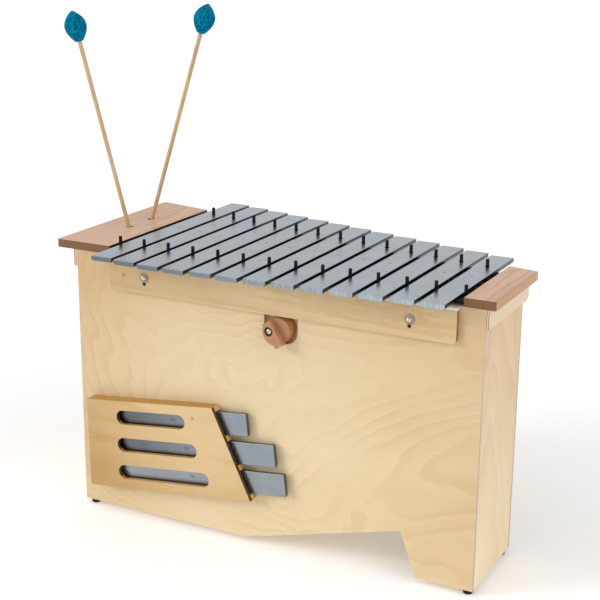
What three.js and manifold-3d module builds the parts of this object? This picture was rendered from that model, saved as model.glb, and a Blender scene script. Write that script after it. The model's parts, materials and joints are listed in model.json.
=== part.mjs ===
// Bass metallophone of the kind used in classrooms: a tapered plywood resonator box
// with thirteen aluminium bars on pins, a damper board raised by a cam knob, a rack of
// three spare bars on the front and two mallets standing in the left end block.
// Millimetres, +Z up, +X towards the short bars, -Y towards the player.

import * as THREE from 'three';
import { mergeVertices } from 'three/addons/utils/BufferGeometryUtils.js';
import Module from 'manifold-3d';

const wasm = await Module();
wasm.setup();

// ---------------------------------------------------------------- driving dimensions

const GAP = 0.3;

// resonator box
const BOX_LENGTH = 900;
const BOX_DEPTH_LEFT = 384;
const BOX_DEPTH_RIGHT = 216;
const BOX_TOP = 563.9;
const PLY = 9;
const CUT_START_X = 405;
const CUT_PEAK_X = 747.5;
const CUT_PEAK_Z = 93;
const CUT_END_X = 783;
const DIVIDER_X = 400;
const DIVIDER_HEIGHT = 515;

// end blocks and the cleats under them
const BLOCK_THICKNESS = 18;
const BLOCK_FRONT_Y = -2;
const LEFT_BLOCK = { x: [-47, 84], rearOverhang: 18 };
const RIGHT_BLOCK = { x: [858, 920.5], rearOverhang: 25 };
const CLEAT_HEIGHT = 36;
const CLEAT_REAR_OVERHANG = 5;
const CLEAT_CHAMFER = 10;

// bars
const BAR_FRONTS = [-84, -91, -96, -95.5, -91, -92, -88, -84, -81, -77, -73, -67, -65];
const BAR_WIDTH = 48.4;
const BAR_THICKNESS = 10;
const BAR_TOP = 582.6;
const BAR_FIRST_X = 121;
const BAR_PITCH = 58.43;
const BAR_REAR_Y = 473.5;
const BAR_REAR_STEP = 13.6;
const BAR_CHAMFER = 1.2;
const BAR_ARCH_DEPTH = 2.4;
const BAR_ARCH_SHARE = 0.42;
const BAR_HOLE_RADIUS = 4.9;

// rails, pins and felts that carry the bars
const RAIL_X = [89, 853];
const FRONT_RAIL_DEPTH = 26;
const REAR_RAIL_DEPTH = 18;
const RAIL_HEIGHT = 28;
const FRONT_PIN_Y = 27;
const REAR_PIN_INSET = 9;
const PIN_RADIUS = 3.5;
const PIN_RISE = 15;
const PIN_STRIP_WIDTH = 12;
const PIN_STRIP_THICKNESS = 1.6;
const REAR_FELT_WIDTH = 16;

// damper board with its felt, guide screws and washers
const DAMPER_X = [89.5, 850];
const DAMPER_Z = [493, 556.4];
const DAMPER_THICKNESS = 10;
const DAMPER_CORNER = 9;
const DAMPER_CLEARANCE = 1;
const DAMPER_FELT_TOP = 562.8;
const GUIDE_X = [173.5, 757.5];
const GUIDE_Z = 528;
const GUIDE_SLOT_WIDTH = 7.5;
const GUIDE_SLOT_BOTTOM = 511;
const GUIDE_SHANK_RADIUS = 2.4;
const GUIDE_HEAD_RADIUS = 5.2;
const GUIDE_HEAD_HEIGHT = 3.3;
const GUIDE_WASHER_RADIUS = 10;
const GUIDE_WASHER_THICKNESS = 1.5;

// cam knob: an eccentric disc with a raised grip
const KNOB_PIVOT = [469, 463];
const KNOB_ECCENTRICITY = 13.5;
const KNOB_RADIUS = 26;
const KNOB_DISC_Y = [-12, 17.5];
const KNOB_GRIP_HEIGHT = 14;
const KNOB_GRIP_WIDTH = 18;
const KNOB_GRIP_ENDS = [-25.5, 29.5];
const KNOB_GRIP_SIDE = 2.4;
const KNOB_GRIP_ANGLE = -57.3;
const KNOB_GRIP_ROOT = [-21.5, 20];
const KNOB_COUNTERBORE_RADIUS = 9.6;
const KNOB_COUNTERBORE_DEPTH = 7.5;
const KNOB_BORE_RADIUS = 3.4;
const KNOB_SCREW_RADIUS = 2.8;
const KNOB_SCREW_HEAD_RADIUS = 7;
const KNOB_SCREW_HEAD_HEIGHT = 4.7;
const WINDOW_X = [446, 520];
const WINDOW_Z = [434.5, 521];
const WINDOW_LOWER_CORNER = 28;
const WINDOW_UPPER_CORNER = 5;
const BEARER_X = [430, 530];
const BEARER_Z = [424, 530];
const BEARER_THICKNESS = 26;
const BEARER_POCKET_DEPTH = 9.7;

// rack of spare bars, drawn flat and then tilted
const RACK_CORNER = [34.9, 50.9];
const RACK_TILT = 6.5;
const RACK_LEFT_LEAN = 5.6;
const RACK_HEIGHT = 195;
const RACK_BOTTOM_LENGTH = 397;
const RACK_TOP_END = 329;
const RACK_PLATE = 9;
const RACK_SPACER_DEPTH = 18.9;
const RACK_SPACER_WIDTH = 11;
const RACK_SLOT_HEIGHT = 31;
const RACK_SLOT_LEFT = 75;
const RACK_SLOT_RIGHT = 81.5;
const SPARE_FRONT_Y = -15;
const SPARE_ENDS = [473.5, 456.5, 400];

// mallets
const MALLET_HOLE_RADIUS = 7.4;
const MALLET_STICK_RADIUS = 4.5;
const MALLET_SEAT = 34;
const MALLET_LEDGE_TOP = 538.4;
const MALLET_LEDGE_END_X = 72;
const MALLET_LEDGE_MARGIN = 40;
const MALLETS = [
  { name: 'left', x: 22.3, y: 161.5, leanX: -11.6, leanY: -6.05, reach: 449 },
  { name: 'right', x: 22.4, y: 245, leanX: 13.85, leanY: 7.25, reach: 466 },
];
const MALLET_TIP_COVER = 6;
const HEAD_LENGTH = 66;
const HEAD_RADIUS = 23.5;
const HEAD_NECK = 1.5;
const HEAD_FULLNESS = 0.8;

// feet
const FOOT_RADIUS = 10;
const FOOT_HEIGHT = 12;
const FOOT_INSET_X = 14;
const FOOT_INSET_Y = 16;

// ---------------------------------------------------------------- derived places

const TAPER = (BOX_DEPTH_RIGHT - BOX_DEPTH_LEFT) / BOX_LENGTH;
const TAPER_STRETCH = Math.hypot(1, TAPER);
const BLOCK_BOTTOM = BOX_TOP + GAP;
const BAR_BOTTOM = BAR_TOP - BAR_THICKNESS;
const RAIL_BOTTOM = BOX_TOP - RAIL_HEIGHT;
const STRIP_TOP = BOX_TOP + GAP + PIN_STRIP_THICKNESS;
const PIN_TOP = BAR_TOP + PIN_RISE;
const RACK_CAVITY = (RACK_HEIGHT - (SPARE_ENDS.length + 1) * RACK_SPACER_WIDTH) / SPARE_ENDS.length;
const RACK_LEAN = Math.tan(THREE.MathUtils.degToRad(RACK_LEFT_LEAN));

// Y of the back panel's outer face at x, moved inwards by a distance square to the panel
function backY(x, inset = 0) {
  return BOX_DEPTH_LEFT + TAPER * x - inset * TAPER_STRETCH;
}

// ---------------------------------------------------------------- materials

const FINISHES = {
  birch: { color: 0xe6d2a5, roughness: 0.55, metalness: 0 },
  goldenPly: { color: 0xd2ab72, roughness: 0.5, metalness: 0 },
  beech: { color: 0xc1906c, roughness: 0.5, metalness: 0 },
  bar: { color: 0x8f979e, roughness: 0.38, metalness: 0.9 },
  steel: { color: 0xb9bcc0, roughness: 0.3, metalness: 1 },
  blackRubber: { color: 0x17181a, roughness: 0.8, metalness: 0 },
  blackFelt: { color: 0x1b1b1c, roughness: 0.95, metalness: 0 },
  whiteFelt: { color: 0xe9e6dc, roughness: 0.95, metalness: 0 },
  stickWood: { color: 0xcf9c66, roughness: 0.45, metalness: 0 },
  yarn: { color: 0x167f9c, roughness: 0.95, metalness: 0 },
};

const instrument = new THREE.Group();

function add(name, geometry, finish, parent = instrument) {
  const mesh = new THREE.Mesh(geometry, new THREE.MeshStandardMaterial(FINISHES[finish]));
  mesh.name = name;
  parent.add(mesh);
  return mesh;
}

// ---------------------------------------------------------------- solid modelling helpers

function toSolid(geometry) {
  const bare = geometry.clone();
  bare.deleteAttribute('normal');
  bare.deleteAttribute('uv');
  const merged = mergeVertices(bare, 1e-4);
  return new wasm.Manifold(new wasm.Mesh({
    numProp: 3,
    vertProperties: merged.getAttribute('position').array,
    triVerts: Uint32Array.from(merged.getIndex().array),
  }));
}

function toGeometry(solid) {
  const mesh = solid.getMesh();
  const geometry = new THREE.BufferGeometry();
  geometry.setAttribute('position', new THREE.BufferAttribute(mesh.vertProperties, 3));
  geometry.setIndex(new THREE.BufferAttribute(mesh.triVerts, 1));
  const faceted = geometry.toNonIndexed();
  faceted.computeVertexNormals();
  return faceted;
}

function cut(geometry, ...tools) {
  return toGeometry(tools.reduce((body, tool) => body.subtract(toSolid(tool)), toSolid(geometry)));
}

function join(geometry, ...others) {
  return toGeometry(others.reduce((body, other) => body.add(toSolid(other)), toSolid(geometry)));
}

function common(geometry, other) {
  return toGeometry(toSolid(geometry).intersect(toSolid(other)));
}

function outline(points) {
  return new THREE.Shape(points.map(([a, b]) => new THREE.Vector2(a, b)));
}

function extrude(shape, depth, curveSegments = 8) {
  return new THREE.ExtrudeGeometry(shape, { depth, bevelEnabled: false, curveSegments });
}

// shape drawn in X and Z, spanning y0 to y1
function prismXZ(shape, y0, y1, curveSegments) {
  return extrude(shape, y1 - y0, curveSegments).rotateX(Math.PI / 2).translate(0, y1, 0);
}

// shape drawn in X and Y, spanning z0 to z1
function prismXY(shape, z0, z1, curveSegments) {
  return extrude(shape, z1 - z0, curveSegments).translate(0, 0, z0);
}

// shape drawn in Y and Z, spanning x0 to x1
function prismYZ(shape, x0, x1) {
  const turn = new THREE.Matrix4().makeBasis(
    new THREE.Vector3(0, 1, 0),
    new THREE.Vector3(0, 0, 1),
    new THREE.Vector3(1, 0, 0),
  );
  return extrude(shape, x1 - x0).applyMatrix4(turn).translate(x0, 0, 0);
}

function block([x0, x1], [y0, y1], [z0, z1]) {
  return new THREE.BoxGeometry(x1 - x0, y1 - y0, z1 - z0)
    .translate((x0 + x1) / 2, (y0 + y1) / 2, (z0 + z1) / 2);
}

function rodZ(x, y, [z0, z1], radius, sides = 12) {
  return new THREE.CylinderGeometry(radius, radius, z1 - z0, sides)
    .rotateX(Math.PI / 2)
    .translate(x, y, (z0 + z1) / 2);
}

function rodY(x, z, [y0, y1], radius, sides = 20) {
  return new THREE.CylinderGeometry(radius, radius, y1 - y0, sides)
    .translate(x, (y0 + y1) / 2, z);
}

// rectangle with its own radius at the lower and at the upper corners
function roundedRectangle([a0, a1], [b0, b1], lower, upper) {
  const shape = new THREE.Shape();
  shape.moveTo(a0 + lower, b0);
  shape.lineTo(a1 - lower, b0);
  shape.absarc(a1 - lower, b0 + lower, lower, -Math.PI / 2, 0);
  shape.lineTo(a1, b1 - upper);
  shape.absarc(a1 - upper, b1 - upper, upper, 0, Math.PI / 2);
  shape.lineTo(a0 + upper, b1);
  shape.absarc(a0 + upper, b1 - upper, upper, Math.PI / 2, Math.PI);
  shape.lineTo(a0, b0 + lower);
  shape.absarc(a0 + lower, b0 + lower, lower, Math.PI, Math.PI * 1.5);
  return shape;
}

// strip that runs along the tapered back, between two insets from its outer face
function taperStrip([x0, x1], [outer, inner], [z0, z1]) {
  return prismXY(outline([
    [x0, backY(x0, inner)],
    [x1, backY(x1, inner)],
    [x1, backY(x1, outer)],
    [x0, backY(x0, outer)],
  ]), z0, z1);
}

// ---------------------------------------------------------------- resonator box

function sideProfile(notch) {
  const foot = [[0, 0], [CUT_START_X, 0], [CUT_PEAK_X, CUT_PEAK_Z], [CUT_END_X, 0], [BOX_LENGTH, 0]];
  const top = notch
    ? [
      [BOX_LENGTH, BOX_TOP], [notch.x[1], BOX_TOP], [notch.x[1], notch.z],
      [notch.x[0], notch.z], [notch.x[0], BOX_TOP], [0, BOX_TOP],
    ]
    : [[BOX_LENGTH, BOX_TOP], [0, BOX_TOP]];
  return outline([...foot, ...top]);
}

// the hole that the cam knob turns in, from y0 to y1
function knobWindow(y0, y1) {
  const shape = roundedRectangle(WINDOW_X, WINDOW_Z, WINDOW_LOWER_CORNER, WINDOW_UPPER_CORNER);
  return prismXZ(shape, y0, y1);
}

function frontPanel() {
  const panel = prismXZ(sideProfile(), 0, PLY);
  const screwHoles = GUIDE_X.map((x) => rodY(x, GUIDE_Z, [-1, PLY + 1], GUIDE_SHANK_RADIUS + GAP, 12));
  return cut(panel, knobWindow(-1, PLY + 1), ...screwHoles);
}

function backPanel() {
  const notch = { x: [RAIL_X[0] - GAP, RAIL_X[1] + GAP], z: RAIL_BOTTOM - GAP };
  const blank = prismXZ(sideProfile(notch), 0, BOX_DEPTH_LEFT + PLY);
  const layer = taperStrip([-PLY, BOX_LENGTH + PLY], [0, PLY], [-PLY, BOX_TOP + PLY]);
  return common(blank, layer);
}

// plan of the space between the front and the back panel, from x0 to x1
function insidePlan([x0, x1]) {
  return outline([
    [x0, PLY + GAP],
    [x1, PLY + GAP],
    [x1, backY(x1, PLY + GAP)],
    [x0, backY(x0, PLY + GAP)],
  ]);
}

function slopedFloor() {
  const rise = CUT_PEAK_Z / (CUT_PEAK_X - CUT_START_X);
  const span = [DIVIDER_X + PLY + GAP, BOX_LENGTH - PLY - GAP];
  const lift = PLY * Math.hypot(1, rise);
  const underside = span.map((x) => [x, (x - CUT_START_X) * rise]);
  const upside = underside.map(([x, z]) => [x, z + lift]).reverse();
  const plank = prismXZ(outline([...underside, ...upside]), 0, BOX_DEPTH_LEFT);
  return common(plank, prismXY(insidePlan(span), -PLY, BOX_TOP));
}

add('front_panel', frontPanel(), 'birch');
add('back_panel', backPanel(), 'birch');
add('left_end_panel', prismXY(insidePlan([0, PLY]), 0, BOX_TOP), 'birch');
add('right_end_panel', prismXY(insidePlan([BOX_LENGTH - PLY, BOX_LENGTH]), 0, BOX_TOP), 'birch');
add('floor_board', prismXY(insidePlan([PLY + GAP, DIVIDER_X - GAP]), 0, PLY), 'birch');
add('sloped_floor_board', slopedFloor(), 'birch');
add('leg_floor_board', prismXY(insidePlan([CUT_END_X, BOX_LENGTH - PLY - GAP]), 0, PLY), 'birch');
add('resonator_divider', prismXY(insidePlan([DIVIDER_X, DIVIDER_X + PLY]), 0, DIVIDER_HEIGHT), 'birch');

// ---------------------------------------------------------------- end blocks and cleats

function endBlock({ x: [x0, x1], rearOverhang }) {
  return prismXY(outline([
    [x0, BLOCK_FRONT_Y],
    [x1, BLOCK_FRONT_Y],
    [x1, backY(x1) + rearOverhang],
    [x0, backY(x0) + rearOverhang],
  ]), BLOCK_BOTTOM, BLOCK_BOTTOM + BLOCK_THICKNESS);
}

function cleat(x0) {
  const rear = backY(x0) + CLEAT_REAR_OVERHANG;
  const bottom = BOX_TOP - CLEAT_HEIGHT;
  return prismYZ(outline([
    [0, bottom],
    [rear - CLEAT_CHAMFER, bottom],
    [rear, bottom + CLEAT_CHAMFER],
    [rear, BOX_TOP],
    [0, BOX_TOP],
  ]), x0, x0 + PLY);
}

const malletHoles = MALLETS.map(({ x, y }) => (
  rodZ(x, y, [BLOCK_BOTTOM - 1, BLOCK_BOTTOM + BLOCK_THICKNESS + 1], MALLET_HOLE_RADIUS, 20)
));
add('left_end_block', cut(endBlock(LEFT_BLOCK), ...malletHoles), 'beech');
add('right_end_block', endBlock(RIGHT_BLOCK), 'beech');
add('left_cleat', cleat(-PLY - GAP), 'birch');
add('right_cleat', cleat(BOX_LENGTH + GAP), 'birch');

// ---------------------------------------------------------------- rails, pins and felts

const barX = (index) => BAR_FIRST_X + BAR_PITCH * index;
const barIndexes = [...BAR_FRONTS.keys()];
const gapIndexes = [...barIndexes, BAR_FRONTS.length];
const frontPins = gapIndexes.map((index) => [barX(index - 0.5), FRONT_PIN_Y]);
const rearPins = barIndexes.map((index) => [barX(index), backY(barX(index), REAR_PIN_INSET)]);

function pinRow(pins, strip) {
  const rods = pins.map(([x, y]) => rodZ(x, y, [STRIP_TOP - 1, PIN_TOP], PIN_RADIUS));
  return join(strip, ...rods);
}

function railFelt(pins, strip) {
  const holes = pins.map(([x, y]) => (
    rodZ(x, y, [STRIP_TOP, BAR_BOTTOM + 1], PIN_RADIUS + GAP)
  ));
  return cut(strip, ...holes);
}

const stripLevels = [BOX_TOP + GAP, STRIP_TOP];
const feltLevels = [STRIP_TOP + GAP, BAR_BOTTOM - GAP];
const around = (middle, width) => [middle - width / 2, middle + width / 2];

const frontRail = block(RAIL_X, [PLY + GAP, PLY + GAP + FRONT_RAIL_DEPTH], [RAIL_BOTTOM, BOX_TOP]);
const frontStrip = block(RAIL_X, around(FRONT_PIN_Y, PIN_STRIP_WIDTH), stripLevels);
const frontFelt = block(RAIL_X, [PLY + GAP, PLY + GAP + FRONT_RAIL_DEPTH], feltLevels);
add('front_rail', frontRail, 'birch');
add('front_pins', pinRow(frontPins, frontStrip), 'blackRubber');
add('front_rail_felt', railFelt(frontPins, frontFelt), 'blackFelt');

const rearStrip = taperStrip(RAIL_X, around(REAR_PIN_INSET, PIN_STRIP_WIDTH), stripLevels);
const rearFelt = taperStrip(RAIL_X, around(REAR_PIN_INSET, REAR_FELT_WIDTH), feltLevels);
add('rear_rail', taperStrip(RAIL_X, [0, REAR_RAIL_DEPTH], [RAIL_BOTTOM, BOX_TOP]), 'birch');
add('rear_pins', pinRow(rearPins, rearStrip), 'blackRubber');
add('rear_rail_felt', railFelt(rearPins, rearFelt), 'blackFelt');

// ---------------------------------------------------------------- sounding bars

// side view of a bar: chamfered ends and a shallow tuning arch under the middle
function barProfile(front, rear) {
  const middle = (front + rear) / 2;
  const half = ((rear - front) * BAR_ARCH_SHARE) / 2;
  const radius = (half * half + BAR_ARCH_DEPTH * BAR_ARCH_DEPTH) / (2 * BAR_ARCH_DEPTH);
  const swing = Math.asin(half / radius);
  const shape = new THREE.Shape();
  shape.moveTo(front, BAR_CHAMFER);
  shape.lineTo(front + BAR_CHAMFER, 0);
  shape.absarc(middle, BAR_ARCH_DEPTH - radius, radius, Math.PI / 2 + swing, Math.PI / 2 - swing, true);
  shape.lineTo(rear - BAR_CHAMFER, 0);
  shape.lineTo(rear, BAR_CHAMFER);
  shape.lineTo(rear, BAR_THICKNESS - BAR_CHAMFER);
  shape.lineTo(rear - BAR_CHAMFER, BAR_THICKNESS);
  shape.lineTo(front + BAR_CHAMFER, BAR_THICKNESS);
  shape.lineTo(front, BAR_THICKNESS - BAR_CHAMFER);
  return shape;
}

function bar(index) {
  const front = BAR_FRONTS[index];
  const rear = BAR_REAR_Y - BAR_REAR_STEP * index;
  const blank = prismYZ(barProfile(front, rear), ...around(0, BAR_WIDTH));
  const hole = rodZ(0, rearPins[index][1], [-1, BAR_THICKNESS + 1], BAR_HOLE_RADIUS, 16);
  return cut(blank, hole);
}

for (const index of barIndexes) {
  const mesh = add(`bar_${String(index + 1).padStart(2, '0')}`, bar(index), 'bar');
  mesh.position.set(barX(index), 0, BAR_BOTTOM);
}

// ---------------------------------------------------------------- damper

const damper = new THREE.Group();
damper.position.y = -GAP - DAMPER_CLEARANCE;
instrument.add(damper);

function damperBoard() {
  const board = prismXZ(roundedRectangle(DAMPER_X, DAMPER_Z, DAMPER_CORNER, 0.5), -DAMPER_THICKNESS, 0);
  const slots = GUIDE_X.map((x) => prismXZ(roundedRectangle(
    around(x, GUIDE_SLOT_WIDTH),
    [GUIDE_SLOT_BOTTOM, GUIDE_Z + GUIDE_SLOT_WIDTH / 2],
    GUIDE_SLOT_WIDTH / 2 - 0.01,
    GUIDE_SLOT_WIDTH / 2 - 0.01,
  ), -DAMPER_THICKNESS - 1, 1, 5));
  return cut(board, ...slots);
}

const washerBack = -DAMPER_THICKNESS - GAP;
const washerFront = washerBack - GUIDE_WASHER_THICKNESS;
const headBack = washerFront - GAP;
const headFront = headBack - GUIDE_HEAD_HEIGHT;

function guideScrew(x) {
  const head = rodY(x, GUIDE_Z, [headFront, headBack], GUIDE_HEAD_RADIUS, 16);
  const shank = rodY(x, GUIDE_Z, [headBack - 1, PLY], GUIDE_SHANK_RADIUS, 12);
  return join(head, shank);
}

function guideWasher(x) {
  const disc = rodY(x, GUIDE_Z, [washerFront, washerBack], GUIDE_WASHER_RADIUS);
  return cut(disc, rodY(x, GUIDE_Z, [headFront, 0], GUIDE_SHANK_RADIUS + GAP, 12));
}

const damperFeltX = [DAMPER_X[0] + 1, DAMPER_X[1]];
const damperFelt = block(damperFeltX, [-DAMPER_THICKNESS, 0], [DAMPER_Z[1] + GAP, DAMPER_FELT_TOP]);
add('damper_board', damperBoard(), 'goldenPly', damper);
add('damper_felt', damperFelt, 'whiteFelt', damper);
['left', 'right'].forEach((side, index) => {
  add(`guide_screw_${side}`, guideScrew(GUIDE_X[index]), 'steel', damper);
  add(`guide_washer_${side}`, guideWasher(GUIDE_X[index]), 'steel', damper);
});

// ---------------------------------------------------------------- cam knob

// Drawn about its pivot, with the disc's centre to the right of it.
function knob() {
  const [discFront, discBack] = KNOB_DISC_Y;
  const gripFront = discFront - KNOB_GRIP_HEIGHT;
  const disc = rodY(KNOB_ECCENTRICITY, 0, KNOB_DISC_Y, KNOB_RADIUS, 56);
  const raisedDisc = rodY(0, 0, [gripFront, discFront + 1], KNOB_RADIUS, 56);
  const half = [KNOB_GRIP_SIDE - 2 * KNOB_RADIUS, KNOB_GRIP_SIDE];
  const halfSpace = block(around(0, 3 * KNOB_RADIUS), [gripFront - 1, 1], half);
  const tongueZ = [KNOB_GRIP_SIDE - KNOB_GRIP_WIDTH, KNOB_GRIP_SIDE];
  const tongue = block(KNOB_GRIP_ENDS, [gripFront, discFront], tongueZ);
  const root = block(KNOB_GRIP_ROOT, [discFront - 1, discFront + 1], tongueZ);
  const grip = join(common(raisedDisc, halfSpace), tongue, root)
    .rotateY(-THREE.MathUtils.degToRad(KNOB_GRIP_ANGLE))
    .translate(KNOB_ECCENTRICITY, 0, 0);
  const bore = rodY(0, 0, [gripFront - 1, discBack + 1], KNOB_BORE_RADIUS, 16);
  const counterboreY = [gripFront - 1, gripFront + KNOB_COUNTERBORE_DEPTH];
  const counterbore = rodY(0, 0, counterboreY, KNOB_COUNTERBORE_RADIUS, 24);
  return cut(join(disc, grip), bore, counterbore);
}

function knobScrew() {
  const seat = KNOB_DISC_Y[0] - KNOB_GRIP_HEIGHT + KNOB_COUNTERBORE_DEPTH - GAP;
  const head = rodY(0, 0, [seat - KNOB_SCREW_HEAD_HEIGHT, seat], KNOB_SCREW_HEAD_RADIUS, 20);
  const shank = rodY(0, 0, [seat - 1, PLY + BEARER_THICKNESS], KNOB_SCREW_RADIUS, 14);
  return join(head, shank);
}

// The board behind the window carries the knob's screw and has a pocket for the back of its disc.
function knobBearer() {
  const [x, z] = KNOB_PIVOT;
  const front = PLY + GAP;
  const board = block(BEARER_X, [front, front + BEARER_THICKNESS], BEARER_Z);
  const pocket = knobWindow(0, front + BEARER_POCKET_DEPTH);
  return cut(board, pocket, rodY(x, z, [0, 2 * BEARER_THICKNESS], KNOB_SCREW_RADIUS + GAP, 14));
}

const knobPlace = new THREE.Group();
knobPlace.position.set(KNOB_PIVOT[0], 0, KNOB_PIVOT[1]);
instrument.add(knobPlace);
add('damper_knob', knob(), 'beech', knobPlace);
add('knob_screw', knobScrew(), 'steel', knobPlace);
add('knob_bearer', knobBearer(), 'birch');

// ---------------------------------------------------------------- rack of spare bars

const rack = new THREE.Group();
rack.position.set(RACK_CORNER[0], 0, RACK_CORNER[1]);
rack.rotation.y = -THREE.MathUtils.degToRad(RACK_TILT);
instrument.add(rack);

const rackLeft = (v) => v * RACK_LEAN;
const rackRight = (v) => RACK_BOTTOM_LENGTH + ((RACK_TOP_END - RACK_BOTTOM_LENGTH) * v) / RACK_HEIGHT;
const rackCavity = (index) => RACK_SPACER_WIDTH + index * (RACK_CAVITY + RACK_SPACER_WIDTH);

function rackLayer([v0, v1], [left, right], [y0, y1]) {
  return prismXZ(outline([
    [rackLeft(v0) + left, v0],
    [rackRight(v0) - right, v0],
    [rackRight(v1) - right, v1],
    [rackLeft(v1) + left, v1],
  ]), y0, y1);
}

const spareIndexes = [...SPARE_ENDS.keys()];
const spacerY = [-GAP - RACK_SPACER_DEPTH, -GAP];
const plateY = [spacerY[0] - GAP - RACK_PLATE, spacerY[0] - GAP];

function rackPlate() {
  const plate = rackLayer([0, RACK_HEIGHT], [0, 0], plateY);
  const slots = spareIndexes.map((index) => {
    const middle = rackCavity(index) + RACK_CAVITY / 2;
    const span = [rackLeft(middle) + RACK_SLOT_LEFT, rackRight(middle) - RACK_SLOT_RIGHT];
    const radius = RACK_SLOT_HEIGHT / 2 - 0.01;
    const shape = roundedRectangle(span, around(middle, RACK_SLOT_HEIGHT), radius, radius);
    return prismXZ(shape, plateY[0] - 1, plateY[1] + 1, 7);
  });
  return cut(plate, ...slots);
}

add('rack_plate', rackPlate(), 'goldenPly', rack);
add('rack_end_stop', prismXZ(outline([
  [0, 0],
  [RACK_SPACER_WIDTH, 0],
  [RACK_SPACER_WIDTH + rackLeft(RACK_HEIGHT), RACK_HEIGHT],
  [rackLeft(RACK_HEIGHT), RACK_HEIGHT],
]), ...spacerY), 'goldenPly', rack);
for (let index = 0; index <= SPARE_ENDS.length; index += 1) {
  const v0 = rackCavity(index) - RACK_SPACER_WIDTH;
  const layer = rackLayer([v0, v0 + RACK_SPACER_WIDTH], [RACK_SPACER_WIDTH + GAP, 0], spacerY);
  add(`rack_spacer_${index + 1}`, layer, 'goldenPly', rack);
}

function spareBar(index) {
  const low = rackCavity(index) + (RACK_CAVITY - BAR_WIDTH) / 2;
  const left = RACK_SPACER_WIDTH + rackLeft(low + BAR_WIDTH) + 1;
  const shape = outline([
    [left, low],
    [SPARE_ENDS[index], low],
    [SPARE_ENDS[index], low + BAR_WIDTH],
    [left, low + BAR_WIDTH],
  ]);
  return prismXZ(shape, SPARE_FRONT_Y, SPARE_FRONT_Y + BAR_THICKNESS);
}

for (const index of spareIndexes) add(`spare_bar_${index + 1}`, spareBar(index), 'bar', rack);

// ---------------------------------------------------------------- mallets

// yarn-wound head turned about its stick: the blind bore first, then the outside up to the tip
function malletHead() {
  const bore = MALLET_STICK_RADIUS + GAP;
  const boreTop = HEAD_LENGTH - MALLET_TIP_COVER + GAP;
  const points = [
    new THREE.Vector2(0, boreTop),
    new THREE.Vector2(bore, boreTop),
    new THREE.Vector2(bore, 0),
  ];
  const steps = 10;
  for (let step = 0; step <= steps; step += 1) {
    const angle = (Math.PI * step) / steps;
    const bulge = Math.sin(angle) ** HEAD_FULLNESS;
    const radius = bore + HEAD_NECK + (HEAD_RADIUS - bore - HEAD_NECK) * bulge;
    points.push(new THREE.Vector2(radius, (HEAD_LENGTH * (1 - Math.cos(angle))) / 2));
  }
  points.push(new THREE.Vector2(0, HEAD_LENGTH));
  return new THREE.LatheGeometry(points, 24).rotateX(Math.PI / 2);
}

function addMallet({ name, x, y, leanX, leanY, reach }) {
  const lean = new THREE.Vector3(
    Math.tan(THREE.MathUtils.degToRad(leanX)),
    Math.tan(THREE.MathUtils.degToRad(leanY)),
    1,
  ).normalize();
  const mallet = new THREE.Group();
  mallet.position.set(x, y, BLOCK_BOTTOM + BLOCK_THICKNESS / 2);
  mallet.quaternion.setFromUnitVectors(new THREE.Vector3(0, 0, 1), lean);
  instrument.add(mallet);
  const tip = reach + HEAD_LENGTH / 2;
  const stick = rodZ(0, 0, [-MALLET_SEAT, tip - MALLET_TIP_COVER], MALLET_STICK_RADIUS, 14);
  add(`mallet_stick_${name}`, stick, 'stickWood', mallet);
  const head = add(`mallet_head_${name}`, malletHead(), 'yarn', mallet);
  head.position.z = tip - HEAD_LENGTH;
}

MALLETS.forEach(addMallet);
const ledgeY = [MALLETS[0].y - MALLET_LEDGE_MARGIN, MALLETS[1].y + MALLET_LEDGE_MARGIN];
const ledgeZ = [MALLET_LEDGE_TOP - PLY, MALLET_LEDGE_TOP];
add('mallet_ledge', block([PLY + GAP, MALLET_LEDGE_END_X], ledgeY, ledgeZ), 'birch');

// ---------------------------------------------------------------- feet

function addFoot(name, x, y) {
  add(name, rodZ(x, y, [-FOOT_HEIGHT, -GAP], FOOT_RADIUS, 24), 'blackRubber');
}

for (const [side, x] of [['left', FOOT_INSET_X], ['right', BOX_LENGTH - FOOT_INSET_X]]) {
  addFoot(`foot_front_${side}`, x, FOOT_INSET_Y);
  addFoot(`foot_rear_${side}`, x, backY(x, FOOT_INSET_Y));
}

// ---------------------------------------------------------------- whole object

// The origin is the bottom centre of the whole object's bounding box.
const assembly = new THREE.Group();
assembly.name = 'bass_metallophone';
assembly.add(instrument);
const bounds = new THREE.Box3().setFromObject(instrument, true);
const centre = bounds.getCenter(new THREE.Vector3());
instrument.position.set(-centre.x, -centre.y, -bounds.min.z);
assembly.updateMatrixWorld(true);

export default assembly;
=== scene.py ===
"""
Looks of the bass metallophone: materials, fine pieces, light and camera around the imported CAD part.

Lengths are named in millimetres, and MM turns them into Blender's metres. Places come from the frame.
Tones are screen colours from 0 to 255, and texture scales are counted per metre.
"""

import json
import math
import random
from collections import namedtuple

import bmesh
import bpy
from mathutils import Matrix, Vector


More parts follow.
